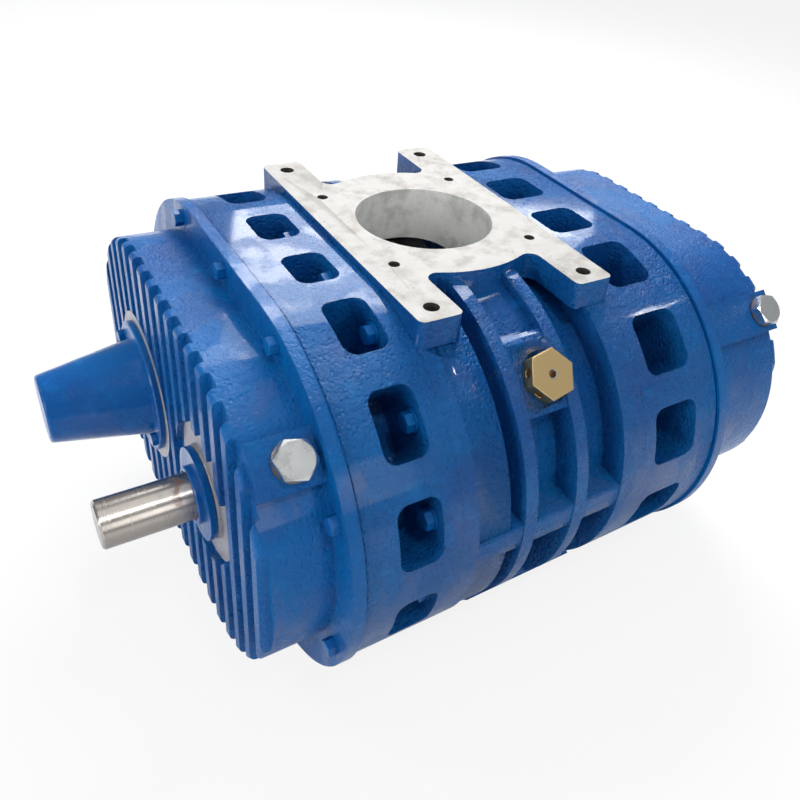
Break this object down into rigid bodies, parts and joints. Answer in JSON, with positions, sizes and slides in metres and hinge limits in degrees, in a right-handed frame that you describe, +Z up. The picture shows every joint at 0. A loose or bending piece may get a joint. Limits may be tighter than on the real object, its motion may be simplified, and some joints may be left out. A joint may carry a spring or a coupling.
{
  "type": "roots vacuum pump",
  "caption": "Roots vacuum pump: ribbed casing with flanged ports, windowed side plates, finned end covers and two geared two-lobe rotors.",
  "frame": {"origin": "centre of the outlet port in the lower flange's face, on the ground plane", "axes": "+X along the two shafts, from the drive end to the gear end; +Y across the shafts, from the drive shaft to the driven one; +Z up, from the outlet to the inlet"},
  "size_m": [0.781, 0.6028, 0.417],
  "materials": {
    "blue_paint": "gloss enamel over rough cast iron",
    "painted_fasteners": "gloss enamel over steel",
    "machined_iron": "turned and milled",
    "steel": "ground",
    "bearing_steel": "polished",
    "zinc_plate": "bright zinc",
    "brass": "turned",
    "copper_washers": "annealed",
    "gasket": "compressed fibre",
    "rubber": "moulded"
  },
  "bodies": {
    "pump_body": {"casing": "blue_paint", "drive_side_plate": "blue_paint", "gear_side_plate": "blue_paint", "drive_cover": "blue_paint", "gear_cover": "blue_paint", "drive_cover_gasket": "gasket", "gear_cover_gasket": "gasket", "seal_housing": "blue_paint", "shaft_seal": "rubber", "cone_cap": "blue_paint", "cone_cap_bolts": "painted_fasteners", "bearing_outer_rings": "bearing_steel", "bearing_balls": "bearing_steel", "bearing_cages": "brass", "bearing_retainers": "machined_iron", "bearing_retainer_screws": "steel", "labyrinth_bushes": "machined_iron", "drive_plate_bolts": "painted_fasteners", "gear_plate_bolts": "painted_fasteners", "drive_plate_washers": "painted_fasteners", "gear_plate_washers": "painted_fasteners", "drive_cover_bolts": "painted_fasteners", "gear_cover_bolts": "painted_fasteners", "dowel_pins": "steel", "drive_filler_plug": "zinc_plate", "drive_drain_plug": "zinc_plate", "gear_filler_plug": "zinc_plate", "gear_drain_plug": "zinc_plate", "plug_seals": "copper_washers", "relief_fitting": "brass"},
    "drive_rotor_body": {"drive_rotor": "machined_iron", "drive_shaft": "steel", "drive_bearing_inner_rings": "bearing_steel", "drive_shaft_nuts": "steel", "drive_gear_spacer": "steel", "drive_timing_gear": "steel", "drive_gear_key": "steel"},
    "driven_rotor_body": {"driven_rotor": "machined_iron", "driven_shaft": "steel", "driven_bearing_inner_rings": "bearing_steel", "driven_shaft_nuts": "steel", "driven_gear_spacer": "steel", "driven_timing_gear": "steel", "driven_gear_key": "steel", "oil_slinger": "steel"}
  },
  "joints": [
    {"name": "drive_spin", "type": "hinge", "parent": "pump_body", "child": "drive_rotor_body", "pos_m": [0, -0.0975, 0.2085], "axis": [1, 0, 0], "continuous": true},
    {"name": "driven_spin", "type": "hinge", "parent": "pump_body", "child": "driven_rotor_body", "pos_m": [0, 0.0975, 0.2085], "axis": [1, 0, 0], "continuous": true}
  ],
  "couplings": [
    {"joint": "driven_spin", "follows": "drive_spin", "ratio": -1}
  ]
}
